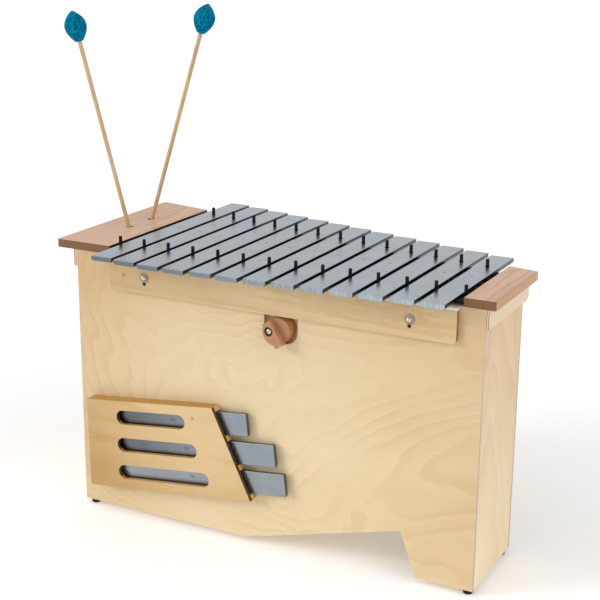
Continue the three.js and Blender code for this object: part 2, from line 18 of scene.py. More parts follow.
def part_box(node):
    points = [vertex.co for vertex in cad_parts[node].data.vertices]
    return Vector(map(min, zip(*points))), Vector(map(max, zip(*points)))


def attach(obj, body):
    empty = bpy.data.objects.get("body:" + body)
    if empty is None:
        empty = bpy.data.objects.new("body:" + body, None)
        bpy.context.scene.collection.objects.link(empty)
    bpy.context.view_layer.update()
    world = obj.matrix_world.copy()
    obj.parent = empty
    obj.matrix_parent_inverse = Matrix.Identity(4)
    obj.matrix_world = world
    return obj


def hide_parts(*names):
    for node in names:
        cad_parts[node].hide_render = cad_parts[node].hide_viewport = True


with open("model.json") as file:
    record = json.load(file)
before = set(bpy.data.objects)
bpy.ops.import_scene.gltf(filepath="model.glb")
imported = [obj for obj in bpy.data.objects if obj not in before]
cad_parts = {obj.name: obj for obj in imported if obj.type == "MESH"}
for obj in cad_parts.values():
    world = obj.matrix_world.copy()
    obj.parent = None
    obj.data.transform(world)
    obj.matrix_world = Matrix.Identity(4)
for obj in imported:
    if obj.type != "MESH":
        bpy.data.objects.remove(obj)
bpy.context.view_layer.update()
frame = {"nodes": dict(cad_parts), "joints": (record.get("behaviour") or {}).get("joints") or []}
random.seed(7)

MM = 0.001
ROOT = "resonator_box"
SIDES = ("left", "right")
X, Y, Z = 0, 1, 2
RIGHT = Vector((1, 0, 0))
BACK = Vector((0, 1, 0))
UP = Vector((0, 0, 1))
FRONT = Vector((0, -1, 0))


# ---------------------------------------------------------------- reading the frame


def cad_points(node):
    return [vertex.co for vertex in frame["nodes"][node].data.vertices]


def span(node, axis):
    """Where a CAD node starts and ends along an axis."""
    reach = [point.dot(axis) for point in cad_points(node)]
    return min(reach), max(reach)


def radius_about(node, base, axis):
    """Radius in mm of a turned CAD node about the axis through base."""
    offsets = [point - base for point in cad_points(node)]
    return max((offset - axis * offset.dot(axis)).length for offset in offsets) / MM


def joint_axis(body):
    joint = next(each for each in frame["joints"] if each["child"] == body)
    return Vector(joint["axis"])


def on_front(node, across, up):
    """A place on a node's front, given as shares of its length and height."""
    low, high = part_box(node)
    return Vector((low.x + across * (high.x - low.x), low.y, low.z + up * (high.z - low.z)))


# ---------------------------------------------------------------- node trees


class Graph:
    """A principled material whose node tree is written as plain expressions."""

    def __init__(self, name, **sockets):
        self.material = bpy.data.materials.new(name)
        self.material.use_nodes = True
        self.tree = self.material.node_tree
        self.shader = self.tree.nodes["Principled BSDF"]
        self.point = self.node("ShaderNodeTexCoord").outputs["Object"]
        for socket, value in sockets.items():
            self.shader.inputs[socket.replace("_", " ")].default_value = value

    def node(self, kind, inputs=(), **settings):
        made = self.tree.nodes.new(kind)
        for key, value in settings.items():
            setattr(made, key, value)
        for key, value in dict(inputs).items():
            if isinstance(value, bpy.types.NodeSocket):
                self.tree.links.new(value, made.inputs[key])
            else:
                made.inputs[key].default_value = value
        return made

    def math(self, operation, *values, clamp=False):
        made = self.node("ShaderNodeMath", enumerate(values), operation=operation, use_clamp=clamp)
        return made.outputs[0]

    def add(self, total, *values):
        for value in values:
            total = self.math("ADD", total, value)
        return total

    def times(self, a, b):
        return self.math("MULTIPLY", a, b)

    def vector(self, operation, a, b):
        made = self.node("ShaderNodeVectorMath", {0: a, 1: b}, operation=operation)
        return made.outputs["Value" if operation in ("DOT_PRODUCT", "DISTANCE") else "Vector"]

    def stretched(self, scale):
        inputs = {"Vector": self.point, "Scale": scale}
        return self.node("ShaderNodeMapping", inputs).outputs["Vector"]

    def noise(self, vector, scale=1.0, detail=2.0, roughness=0.5, distortion=0.0):
        inputs = {"Vector": vector, "Scale": scale, "Detail": detail}
        inputs.update({"Roughness": roughness, "Distortion": distortion})
        return self.node("ShaderNodeTexNoise", inputs).outputs["Fac"]

    def fit(self, value, low, high, to_low=0.0, to_high=1.0):
        """Eases a value between low and high over to another range, and holds it at that range's ends."""
        inputs = {0: value, 1: low, 2: high, 3: to_low, 4: to_high}
        return self.node("ShaderNodeMapRange", inputs, interpolation_type="SMOOTHSTEP").outputs[0]

    def mix(self, share, a, b):
        return self.node("ShaderNodeMix", {0: share, 6: a, 7: b}, data_type="RGBA").outputs[2]

    def facing(self, direction, both=True):
        """1 where the surface looks along direction or, with both, against it, and 0 where it is edge on."""
        normal = self.node("ShaderNodeNewGeometry").outputs["Normal"]
        along = self.vector("DOT_PRODUCT", normal, tuple(direction))
        if both:
            along = self.math("ABSOLUTE", along)
        return self.fit(along, 0.6, 0.8)

    def place(self, axis):
        return self.node("ShaderNodeSeparateXYZ", {0: self.point}).outputs[axis]

    def finish(self, colour=None, roughness=None, bump=None, strength=0.2, depth=0.0002):
        """Links what varies over the surface. depth is the height of the bumps in metres."""
        if colour is not None:
            self.tree.links.new(colour, self.shader.inputs["Base Color"])
        if roughness is not None:
            self.tree.links.new(roughness, self.shader.inputs["Roughness"])
        if bump is not None:
            inputs = {"Height": bump, "Strength": strength, "Distance": depth}
            raised = self.node("ShaderNodeBump", inputs)
            self.tree.links.new(raised.outputs["Normal"], self.shader.inputs["Normal"])
        return self.material


def tone(red, green, blue):
    """A screen colour as the linear colour that shaders use."""
    def linear(value):
        share = value / 255
        return share / 12.92 if share <= 0.04045 else ((share + 0.055) / 1.055) ** 2.4

    return (linear(red), linear(green), linear(blue), 1.0)


def along_grain(graph, grain, scale):
    """Texture space that is long along the grain, an axis, and fine across it. scale = (along, across)."""
    along, across = scale
    return graph.stretched([along if axis == grain else across for axis in (X, Y, Z)])


# ---------------------------------------------------------------- wood

# The figure's scale is size, the number of lines cut from it is rings, and how dark they are is depth.
Lumber = namedtuple("Lumber", "pale dark grain size rings depth")

# The sides that look along a direction or, with both, against it too, and their tone, which is painted shade
# on some sides.
Side = namedtuple("Side", "direction both tone")

# Painted shade: a veneer painted darker by share at one place on an axis, where less light falls, fading to
# its own tone at another.
PaintedShade = namedtuple("PaintedShade", "axis darkest clear share")

# Scales of the wood's details along and across the grain.
WAVER = (34, 90)
PATCH = (4, 9)
FIBRE = (16, 600)
FLECK = (90, 900)
CLOUD = (1.6, 3.4)
SAWN = (60, 900)

PLY = 9
PLIES = 5
EDGE_PALE = (242, 222, 194)
EDGE_DARK = (172, 126, 98)
EDGE_GLUE = (112, 70, 48)


def figure_of(graph, lumber, seed):
    """Growth rings of a peeled or sawn face, about -0.6 pale to 1 dark: thin jagged lines that come and go."""
    shift = (seed, 2.3 * seed, 0.7 * seed)
    place = graph.vector("ADD", along_grain(graph, lumber.grain, lumber.size), shift)
    height = graph.noise(place, detail=5.0, roughness=0.4, distortion=0.5)
    waver = graph.noise(along_grain(graph, lumber.grain, WAVER), detail=3.0, roughness=0.65)
    ring = graph.math("FRACT", graph.add(graph.times(height, lumber.rings), graph.times(waver, 0.5)))
    dark = graph.times(graph.fit(ring, 0.5, 0.86), graph.fit(ring, 1.0, 0.88))
    line = graph.math("SUBTRACT", dark, graph.times(graph.fit(ring, 0.36, 0.06), 0.6))
    strength = graph.noise(along_grain(graph, lumber.grain, PATCH))
    return graph.times(line, graph.fit(strength, 0.32, 0.62, 0.3, 1.0))


def wood(name, lumber, seed, layers=None, sides=(), painted_shades=(), dark_spots=()):
    """
    Lacquered wood. layers = (direction, start, thickness) draws plywood edges, and dark_spots = (place,
    radius) are
    small dark eyes: real knots, and painted shade where the front panel shows through the damper's slots.
    """
    graph = Graph(name, Coat_Weight=0.12, Coat_Roughness=0.25)
    figure = figure_of(graph, lumber, seed)
    fibre = graph.noise(along_grain(graph, lumber.grain, FIBRE), detail=3.0, roughness=0.6)
    fleck = graph.noise(along_grain(graph, lumber.grain, FLECK), detail=1.0)
    cloud = graph.noise(along_grain(graph, lumber.grain, CLOUD))
    share = graph.add(
        graph.times(figure, lumber.depth),
        graph.fit(cloud, 0.3, 0.75, 0.02, 0.3),
        graph.fit(fibre, 0.3, 0.75, -0.04, 0.06),
        graph.fit(fleck, 0.66, 0.8, 0.0, 0.1),
    )
    # Painted shade, darker where less light falls.
    for shade in painted_shades:
        place = graph.place(shade.axis)
        share = graph.add(share, graph.fit(place, shade.darkest, shade.clear, shade.share, 0.0))
    for place, radius in dark_spots:
        away = graph.vector("DISTANCE", graph.point, place)
        share = graph.add(share, graph.fit(away, 0.3 * radius, radius, 1.1, 0.0))
    share = graph.math("ADD", share, 0.0, clamp=True)
    colour = graph.mix(share, tone(*lumber.pale), tone(*lumber.dark))
    if layers:
        colour = ply_edges(graph, colour, *layers)
    for side in sides:
        speckle = graph.noise(along_grain(graph, lumber.grain, SAWN), detail=3.0)
        darker = tuple(0.62 * value for value in tone(*side.tone)[:3]) + (1.0,)
        sawn = graph.mix(graph.fit(speckle, 0.35, 0.7, 0.0, 0.4), tone(*side.tone), darker)
        colour = graph.mix(graph.facing(side.direction, side.both), colour, sawn)
    rough = graph.fit(cloud, 0.2, 0.8, 0.38, 0.52)
    return graph.finish(colour, rough, graph.add(fibre, figure), strength=0.1)


def ply_edges(graph, face, direction, start, thickness):
    """The face's colour, with the edges drawn as alternate veneers and dark glue lines."""
    depth = graph.vector("DOT_PRODUCT", graph.point, tuple(direction))
    layer = graph.times(graph.math("SUBTRACT", depth, start), PLIES / thickness)
    odd = graph.math("GREATER_THAN", graph.math("FRACT", graph.times(layer, 0.5)), 0.5)
    within = graph.math("FRACT", graph.add(layer, 0.5))
    seam = graph.math("ABSOLUTE", graph.math("SUBTRACT", within, 0.5))
    glue = graph.fit(seam, 0.12, 0.04)
    speckle = graph.noise(graph.point, 900.0)
    veneer = graph.mix(odd, tone(*EDGE_PALE), tone(*EDGE_DARK))
    veneer = graph.mix(graph.fit(speckle, 0.4, 0.7, 0.0, 0.16), veneer, tone(*EDGE_GLUE))
    edge = graph.mix(glue, veneer, tone(*EDGE_GLUE))
    return graph.mix(graph.facing(direction), edge, face)


def layers_along(node, axis):
    """Layers of a flat board whose thickness runs along one axis."""
    low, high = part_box(node)
    direction = [1.0 if index == axis else 0.0 for index in (X, Y, Z)]
    return direction, low[axis], high[axis] - low[axis]


def back_layers():
    """Layers of the back panel, which leans in towards the short bars."""
    low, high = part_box("back_panel")
    points = cad_points("back_panel")
    left = max((point for point in points if point.x < low.x + MM), key=lambda point: point.y)
    right = max((point for point in points if point.x > high.x - MM), key=lambda point: point.y)
    run = (right - left).xy.normalized()
    outward = Vector((-run.y, run.x, 0.0))
    return tuple(outward), outward.dot(left) - PLY * MM, PLY * MM


# ---------------------------------------------------------------- other materials

# side is the narrow faces, in painted shade where they face the gaps between the bars. tips are the tones of
# the cut ends at the left and the right of the instrument, painted shade at the left turning to painted
# highlight at the right, and of their bright streaks, saw marks lit as painted highlights.
Alloy = namedtuple("Alloy", "pale dark side tips")

BAR_ALLOY = Alloy(
    pale=(194, 202, 211), dark=(182, 190, 199), side=(72, 77, 82),
    tips=((106, 120, 131), (166, 178, 187), (222, 232, 238)),
)
# The bars' aluminium painted darker: painted shade for the spare bars that stand upright in the rack.
SHADED_SPARE_ALLOY = Alloy(
    pale=(152, 160, 168), dark=(142, 150, 157), side=(104, 110, 116),
    tips=((104, 110, 116), (104, 110, 116), (142, 150, 157)),
)

# Two tones each: the first is the paler one.
INK = (100, 104, 110), (52, 55, 60)
BRIGHT_STEEL = (240, 238, 232), (206, 202, 194)
WASHER_STEEL = (172, 158, 136), (136, 124, 104)
DARK_STEEL = (96, 92, 88), (60, 58, 56)
RUBBER = (22, 22, 24), (9, 9, 10)
BLACK_FELT = (34, 34, 36), (12, 12, 13)
WHITE_FELT = (244, 240, 228), (206, 200, 184)
YARN = (4, 160, 200), (0, 40, 80)
STICK = (216, 186, 138), (184, 146, 98)


def metal_bar(name, alloy, grain, broad, end, rack_shade=None):
    """
    Satin rolled aluminium. broad and end are the directions that its wide faces and its cut ends look in, and
    rack_shade = (from, to, brightness) paints shade on the part of a bar that lies in its rack.
    """
    graph = Graph(name, Metallic=1.0)
    rolled = graph.noise(along_grain(graph, grain, (5, 500)))
    cloud = graph.noise(graph.point, 26.0, detail=3.0)
    mottle = graph.noise(graph.point, 420.0, detail=3.0)
    sawn = graph.noise(graph.stretched((700, 60, 50)), detail=3.0)
    share = graph.add(graph.fit(cloud, 0.3, 0.7, 0.0, 0.6), graph.fit(mottle, 0.3, 0.7, 0.0, 0.08))
    face = graph.mix(share, tone(*alloy.pale), tone(*alloy.dark))
    if rack_shade:
        start, stop, brightness = rack_shade
        # Painted shade in the rack's slots.
        dull = graph.fit(graph.place(X), start, stop, 1.0 - brightness, 0.0)
        face = graph.mix(dull, face, tone(0, 0, 0))
    ends = graph.facing(end)
    low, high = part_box("front_panel")
    across = graph.fit(graph.place(X), low.x + 100 * MM, high.x)
    left_tip, right_tip, bright = alloy.tips
    # Painted shade and highlight: the cut ends dark at the left of the instrument and bright at the right.
    end_colour = graph.mix(across, tone(*left_tip), tone(*right_tip))
    # Saw marks on the cut ends, drawn brighter towards the right as painted highlights.
    streak = graph.times(graph.fit(sawn, 0.42, 0.7), graph.fit(across, 0.1, 0.9, 0.04, 0.5))
    end_colour = graph.mix(streak, end_colour, tone(*bright))
    # Painted shade on the narrow sides in the gaps between the bars.
    colour = graph.mix(graph.facing(broad), tone(*alloy.side), face)
    colour = graph.mix(ends, colour, end_colour)
    rough = graph.add(graph.fit(rolled, 0.3, 0.7, 0.26, 0.29), graph.times(ends, 0.15))
    bump = graph.add(graph.times(rolled, 0.15), graph.times(sawn, ends))
    return graph.finish(colour, rough, bump, strength=0.018, depth=0.0001)


def stamped():
    pale, dark = INK
    graph = Graph("stamped_letter", Metallic=0.8, Roughness=0.6)
    worn = graph.noise(graph.point, 900.0)
    return graph.finish(graph.mix(graph.fit(worn, 0.35, 0.65), tone(*dark), tone(*pale)))


def steel(name, pale, dark):
    graph = Graph(name, Metallic=1.0)
    cloud = graph.noise(graph.point, 260.0, detail=3.0)
    colour = graph.mix(graph.fit(cloud, 0.3, 0.7), tone(*pale), tone(*dark))
    return graph.finish(colour, graph.fit(cloud, 0.3, 0.7, 0.26, 0.4), cloud, strength=0.05)


def black_rubber():
    pale, dark = RUBBER
    graph = Graph("black_rubber", Specular_IOR_Level=0.25)
    skin = graph.noise(graph.point, 1500.0, detail=3.0)
    dust = graph.noise(graph.point, 120.0, detail=3.0)
    colour = graph.mix(graph.fit(dust, 0.4, 0.8), tone(*dark), tone(*pale))
    return graph.finish(colour, graph.fit(dust, 0.3, 0.7, 0.45, 0.65), skin, strength=0.15)


def felt(name, pale, dark):
    graph = Graph(name, Sheen_Weight=0.4, Sheen_Roughness=0.5, Roughness=0.95)
    fibre = graph.noise(graph.point, 1800.0, detail=4.0, roughness=0.7, distortion=1.5)
    clump = graph.noise(graph.point, 300.0, detail=3.0)
    share = graph.add(graph.fit(fibre, 0.3, 0.7, 0.0, 0.7), graph.fit(clump, 0.3, 0.7, 0.0, 0.3))
    colour = graph.mix(share, tone(*dark), tone(*pale))
    return graph.finish(colour, None, fibre, strength=0.6, depth=0.0004)


def yarn():
    pale, dark = YARN
    graph = Graph("wool_yarn", Roughness=0.95, Specular_IOR_Level=0.05)
    fibre = graph.noise(graph.point, 2600.0, detail=4.0, roughness=0.7)
    strand = graph.noise(graph.stretched((420, 420, 120)), roughness=0.6, distortion=1.0)
    patch = graph.noise(graph.point, 90.0)
    share = graph.add(
        graph.fit(fibre, 0.3, 0.7, 0.0, 0.25),
        graph.fit(strand, 0.38, 0.62, 0.0, 0.6),
        graph.fit(patch, 0.3, 0.7, 0.0, 0.15),
    )
    colour = graph.mix(share, tone(*dark), tone(*pale))
    return graph.finish(colour, None, fibre, strength=0.5, depth=0.0003)


def stick_wood():
    pale, dark = STICK
    graph = Graph("stick_wood", Coat_Weight=0.3, Coat_Roughness=0.15, Roughness=0.35)
    fibre = graph.noise(graph.stretched((420, 420, 9)), detail=3.0)
    cloud = graph.noise(graph.stretched((12, 12, 12)))
    share = graph.add(graph.fit(fibre, 0.3, 0.7, 0.0, 0.6), graph.fit(cloud, 0.3, 0.7, 0.0, 0.4))
    return graph.finish(graph.mix(share, tone(*pale), tone(*dark)), None, fibre, strength=0.15)


# ---------------------------------------------------------------- mesh helpers


def new_piece(name, shape, material, body, nodes=()):
    """Turns a bmesh into an object that rides on a body and stands for CAD nodes."""
    mesh = bpy.data.meshes.new(name)
    bmesh.ops.recalc_face_normals(shape, faces=shape.faces)
    shape.to_mesh(mesh)
    shape.free()
    for polygon in mesh.polygons:
        polygon.use_smooth = True
    mesh.materials.append(material)
    piece = bpy.data.objects.new(name, mesh)
    bpy.context.scene.collection.objects.link(piece)
    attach(piece, body)
    if nodes:
        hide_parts(*nodes)
    return piece


def bevelled(piece, width, segments, angle):
    """Rounds the edges that turn by more than angle, in degrees."""
    bevel = piece.modifiers.new("edges", "BEVEL")
    bevel.width = width * MM
    bevel.segments = segments
    bevel.limit_method = "ANGLE"
    bevel.angle_limit = math.radians(angle)
    bevel.use_clamp_overlap = True
    return piece


def evenly_shaded(piece):
    """Keeps broad faces flat in the light beside their small rounded edges."""
    shading = piece.modifiers.new("shading", "WEIGHTED_NORMAL")
    shading.keep_sharp = True
    return piece


def rounded(piece, width, segments):
    return evenly_shaded(bevelled(piece, width, segments, 30))


def cad_shape(node):
    """A CAD node's shape with its triangles merged back into whole faces."""
    shape = bmesh.new()
    shape.from_mesh(frame["nodes"][node].data)
    bmesh.ops.remove_doubles(shape, verts=shape.verts, dist=0.01 * MM)
    bmesh.ops.dissolve_limit(
        shape, angle_limit=math.radians(1), use_dissolve_boundaries=False,
        verts=shape.verts, edges=shape.edges,
    )
    return shape


def refined(node, material, body, width, segments=2):
    """A finer copy of one CAD node, with rounded edges."""
    piece = new_piece(f"{node}_fine", cad_shape(node), material, body, [node])
    return rounded(piece, width, segments)


def dress(node, material):
    """Gives a CAD node that stays on show its material."""
    data = frame["nodes"][node].data
    data.materials.clear()
    data.materials.append(material)


def lathe(shape, profile, base, axis, sides):
    """Adds a turned solid. profile is (radius, distance along axis) in mm, from one end to the other."""
    turn = UP.rotation_difference(Vector(axis)).to_matrix()
    rings = []
    for radius, height in profile:
        if radius < 1e-6:
            rings.append([shape.verts.new(base + turn @ Vector((0, 0, height * MM)))])
            continue
        ring = []
        for side in range(sides):
            angle = 2 * math.pi * side / sides
            spot = Vector((radius * math.cos(angle), radius * math.sin(angle), height)) * MM
            ring.append(shape.verts.new(base + turn @ spot))
        rings.append(ring)
    for lower, upper in zip(rings, rings[1:]):
        join_rings(shape, lower, upper)
    return shape


def join_rings(shape, lower, upper):
    """Faces between two rings of the same count, or between a ring and a single point."""
    count = max(len(lower), len(upper))
    for side in range(count):
        after = (side + 1) % count
        corners = [lower[side % len(lower)], lower[after % len(lower)]]
        corners += [upper[after % len(upper)], upper[side % len(upper)]]
        shape.faces.new(list(dict.fromkeys(corners)))


def fillet(radius, height, corner, steps=4):
    """Profile points that round a turned rim: from the side up to the top."""
    return [
        (
            radius - corner + corner * math.cos(math.pi / 2 * step / steps),
            height - corner + corner * math.sin(math.pi / 2 * step / steps),
        )
        for step in range(steps + 1)
    ]


def carved(piece, cutter_shape):
    """Cuts a bmesh out of the piece for good."""
    mesh = bpy.data.meshes.new("cutter")
    bmesh.ops.recalc_face_normals(cutter_shape, faces=cutter_shape.faces)
    cutter_shape.to_mesh(mesh)
    cutter_shape.free()
    cutter = bpy.data.objects.new("cutter", mesh)
    bpy.context.scene.collection.objects.link(cutter)
    cut = piece.modifiers.new("cut", "BOOLEAN")
    cut.operation = "DIFFERENCE"
    cut.solver = "EXACT"
    cut.object = cutter
    bpy.context.view_layer.update()
    graph = bpy.context.evaluated_depsgraph_get()
    done = bpy.data.meshes.new_from_object(piece.evaluated_get(graph))
    piece.modifiers.clear()
    piece.data = done
    bpy.data.objects.remove(cutter)
    return piece


# ---------------------------------------------------------------- wooden parts

FRONT_BIRCH = Lumber((229, 209, 170), (200, 166, 118), X, (1.1, 1.9), 42.0, 0.15)
END_BIRCH = Lumber((250, 229, 191), (212, 176, 128), Z, (0.9, 3.6), 16.0, 0.13)
CLEAT_BIRCH = Lumber((226, 203, 168), (212, 176, 128), Y, (1.0, 5.0), 8.0, 0.2)
BOARD_BIRCH = Lumber((229, 209, 170), (200, 166, 118), X, (1.5, 4.0), 9.0, 0.3)
# The bearer's wood painted paler than the rest: painted light for where it lies in shade behind the knob's
# window.
BEARER_WOOD_PAINTED_LIGHT = Lumber((252, 226, 182), (228, 188, 130), X, (1.5, 6.0), 9.0, 0.4)
BLOCK_BEECH = Lumber((222, 182, 153), (176, 122, 84), Y, (1.6, 26.0), 6.0, 0.34)
KNOB_BEECH = Lumber((206, 146, 92), (150, 94, 50), Z, (6.0, 30.0), 6.0, 0.5)
RACK_WOOD = Lumber((216, 187, 138), (182, 142, 84), X, (0.9, 4.0), 9.0, 0.24)
STRIP_WOOD = Lumber((222, 180, 112), (160, 110, 56), X, (0.9, 12.0), 8.0, 0.4)
DAMPER_WOOD = Lumber((217, 189, 142), (180, 140, 88), X, (0.5, 6.0), 9.0, 0.22)

BLOCK_SIDE = (196, 146, 96)
BLOCK_END = (122, 79, 44)
BLOCK_IN_SHADE = (52, 34, 24)
KNOB_FACE = (180, 130, 92)
RACK_EDGE = (184, 132, 44)
RACK_END = (88, 58, 30)
# The damper board's end grain, darkened further as painted shade for the shadow the board casts beside its
# end.
DAMPER_END_SHADED = (150, 112, 64)

# Radii of the painted shade around the guide screws, where the panel shows through the damper's slots, and of
# the knots.
SLOT_SHADE_SPOT = 12
RACK_KNOT = 5
DAMPER_KNOT = 6


def box_panels():
    low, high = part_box("front_panel")
    # Painted shade: the front panel darker towards its left and right ends and its top, and the end panels
    # darker towards their tops, where less light falls.
    front_painted_shades = [
        PaintedShade(X, low.x, low.x + 300 * MM, 0.4),
        PaintedShade(X, high.x, high.x - 360 * MM, 0.34),
        PaintedShade(Z, high.z, high.z - 500 * MM, 0.28),
    ]
    end_painted_shades = [PaintedShade(Z, high.z, high.z - 500 * MM, 0.66)]
    # Painted shade on the panel where it shows through the damper's slots around the guide screws.
    slot_shade = [(screw_place(side), SLOT_SHADE_SPOT * MM) for side in SIDES]
    layers = layers_along("front_panel", Y)
    materials = {
        "front_panel": wood("birch_front", FRONT_BIRCH, 3.1, layers, painted_shades=front_painted_shades, dark_spots=slot_shade),
        "back_panel": wood("birch_back", FRONT_BIRCH, 11.4, back_layers()),
    }
    for side, seed in zip(SIDES, (5.2, 8.8)):
        node = f"{side}_end_panel"
        materials[node] = wood(f"birch_{side}", END_BIRCH, seed, layers_along(node, X), painted_shades=end_painted_shades)
    for side, seed in zip(SIDES, (1.7, 6.3)):
        node = f"{side}_cleat"
        materials[node] = wood(f"birch_{node}", CLEAT_BIRCH, seed, layers_along(node, X))
    for node, material in materials.items():
        refined(node, material, ROOT, width=0.7)


def screw_place(side):
    """Where a guide screw goes into the front panel."""
    low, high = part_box(f"guide_screw_{side}")
    return Vector(((low.x + high.x) / 2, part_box("front_panel")[0].y, (low.z + high.z) / 2))


def inner_boards():
    """Boards inside the box keep their CAD shape and get their grain."""
    flat = ("floor_board", "leg_floor_board", "sloped_floor_board", "mallet_ledge", "front_rail", "rear_rail")
    boards = {"resonator_divider": (BOARD_BIRCH._replace(grain=Z), X)}
    boards.update({node: (BOARD_BIRCH, Z) for node in flat})
    for node, (lumber, axis) in boards.items():
        dress(node, wood(f"birch_{node}", lumber, len(node), layers_along(node, axis)))
    # The knob's bearer, painted paler as painted light in the deep window.
    dress("knob_bearer", wood("bearer_painted_light", BEARER_WOOD_PAINTED_LIGHT, 3.3))


def end_blocks():
    """Beech blocks, dark on the sides that lie in the shade next to the bars."""
    for side, inward, seed in (("left", RIGHT, 2.0), ("right", -RIGHT, 9.0)):
        sides = [
            Side(RIGHT, True, BLOCK_SIDE),
            Side(inward, False, BLOCK_IN_SHADE),
            Side(FRONT, True, BLOCK_END),
        ]
        material = wood(f"beech_{side}", BLOCK_BEECH, seed, sides=sides)
        refined(f"{side}_end_block", material, ROOT, width=1.2, segments=3)


def rack_parts():
    low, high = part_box("rack_plate")
    along = joint_axis("spare_bar_1")
    edges = Side(along.cross(FRONT), True, RACK_EDGE)
    sides = [Side(along, False, RACK_END), edges]
    # Painted shade: the plate darker towards its left end and its bottom.
    painted_shades = [PaintedShade(X, low.x, low.x + 300 * MM, 0.5), PaintedShade(Z, low.z, low.z + 140 * MM, 0.4)]
    dark_spots = [(on_front("rack_plate", 0.66, 0.87), RACK_KNOT * MM)]
    plate = wood("golden_plate", RACK_WOOD, 4.0, sides=sides, painted_shades=painted_shades, dark_spots=dark_spots)
    refined("rack_plate", plate, ROOT, width=0.5)
    strip = wood("golden_strip", STRIP_WOOD, 5.0, sides=[edges])
    for node in ("rack_end_stop", "rack_spacer_1", "rack_spacer_2", "rack_spacer_3", "rack_spacer_4"):
        refined(node, strip, ROOT, width=0.5)


def damper_board():
    low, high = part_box("damper_board")
    # Painted shade: the end faces darker, and the board darker towards both ends, most at the left under the
    # bars' shadows.
    sides = [Side(RIGHT, True, DAMPER_END_SHADED)]
    painted_shades = [PaintedShade(X, low.x, low.x + 360 * MM, 0.3), PaintedShade(X, high.x, high.x - 300 * MM, 0.14)]
    dark_spots = [(on_front("damper_board", 0.045, 0.55), DAMPER_KNOT * MM)]
    material = wood("golden_damper", DAMPER_WOOD, 12.0, sides=sides, painted_shades=painted_shades, dark_spots=dark_spots)
    refined("damper_board", material, "damper", width=0.9, segments=3)


def knob():
    material = wood("beech_knob", KNOB_BEECH, 4.4, sides=[Side(FRONT, True, KNOB_FACE)])
    refined("damper_knob", material, "knob", width=0.9, segments=3)


# ---------------------------------------------------------------- bars

BAR_EDGE_TOP = 1.2
BAR_EDGE_BELOW = 3.4
BAR_STATIONS = 20
BAR_ENDS = [(0.0, 1.0), (0.4, 0.4), (1.0, 0.0)]
ARCH_DEPTH = 2.4
ARCH_SHARE = 0.42
PIN_HOLE = 4.9
PIN_HOLE_FLARE = 1.2

NOTES = ["C", "D", "E", "F", "G", "A", "B", "C", "D", "E", "F", "G", "A"]
NOTE_HEIGHT = 10
NOTE_LIFT = 0.03
NOTE_BEHIND_MIDDLE = 12
SPARE_NOTE_SHARE = 0.52

# Each spare bar's note, and how bright the painted shade leaves the part of it in the rack.
SPARE_BARS = {"spare_bar_1": ("F#", 1.0), "spare_bar_2": ("Bb", 0.4), "spare_bar_3": ("F#", 0.35)}


def bar_ring(shape, spot, across, up, half, low, high, inset):
    """One rounded rectangular section of a bar, drawn in from its full size by inset, all in mm."""
    ring = []
    for turn, (side, level) in enumerate(((half, low), (half, high), (-half, high), (-half, low))):
        corner = BAR_EDGE_TOP if level == high else BAR_EDGE_BELOW
        sign = 1 if side > 0 else -1
        rise = 1 if level == high else -1
        centre = Vector((side - sign * (corner + inset), level - rise * (corner + inset)))
        for step in range(4):
            angle = math.radians(-90 + 90 * turn + 30 * step)
            point = centre + corner * Vector((math.cos(angle), math.sin(angle)))
            ring.append(shape.verts.new(spot + (across * point.x + up * point.y) * MM))
    return ring


def bar_shape(start, along, across, up, length, width, thickness):
    """A lofted bar from one end, with rounded edges and a tuning arch below its middle."""
    shape = bmesh.new()
    rings = []
    stations = list(BAR_ENDS)
    for step in range(BAR_STATIONS + 1):
        share = 0.5 - ARCH_SHARE / 2 + ARCH_SHARE * step / BAR_STATIONS
        stations.append((length * share, 0.0))
    stations += [(length - place, inset) for place, inset in reversed(BAR_ENDS)]
    for place, inset in stations:
        share = (place / length - 0.5) / (ARCH_SHARE / 2)
        lift = ARCH_DEPTH * max(0.0, 1 - share * share)
        spot = start + along * place * MM
        rings.append(bar_ring(shape, spot, across, up, width / 2, lift, thickness, inset))
    for lower, upper in zip(rings, rings[1:]):
        join_rings(shape, lower, upper)
    shape.faces.new(rings[0])
    shape.faces.new(rings[-1])
    return shape


def letter_mesh(text):
    """A flat outline of a note name about its own middle."""
    curve = bpy.data.curves.new("letter", "FONT")
    curve.body = text
    curve.size = NOTE_HEIGHT * MM
    curve.align_x = "CENTER"
    curve.align_y = "CENTER"
    holder = bpy.data.objects.new("letter", curve)
    bpy.context.scene.collection.objects.link(holder)
    bpy.context.view_layer.update()
    graph = bpy.context.evaluated_depsgraph_get()
    mesh = bpy.data.meshes.new_from_object(holder.evaluated_get(graph))
    bpy.data.objects.remove(holder)
    return mesh


def stamp(piece, text, place, right, up, material):
    """Joins a note name to a bar as a thin worn print on its face."""
    mesh = letter_mesh(text)
    normal = right.cross(up)
    turn = Matrix((right, up, normal)).transposed().to_4x4()
    mesh.transform(Matrix.Translation(place + normal * NOTE_LIFT * MM) @ turn)
    shape = bmesh.new()
    shape.from_mesh(piece.data)
    count = len(shape.faces)
    shape.from_mesh(mesh)
    shape.faces.ensure_lookup_table()
    piece.data.materials.append(material)
    for face in shape.faces[count:]:
        face.material_index = len(piece.data.materials) - 1
    shape.to_mesh(piece.data)
    shape.free()


def pin_hole(bottom, thickness):
    """A cutter for a rear pin's hole with a flared mouth, from 1 mm below the bar to above it."""
    profile = [(0, 0), (PIN_HOLE, 0), (PIN_HOLE, thickness + 0.3)]
    profile += [(PIN_HOLE + PIN_HOLE_FLARE, thickness + 1.5), (0, thickness + 1.5)]
    return lathe(bmesh.new(), profile, bottom, UP, 28)


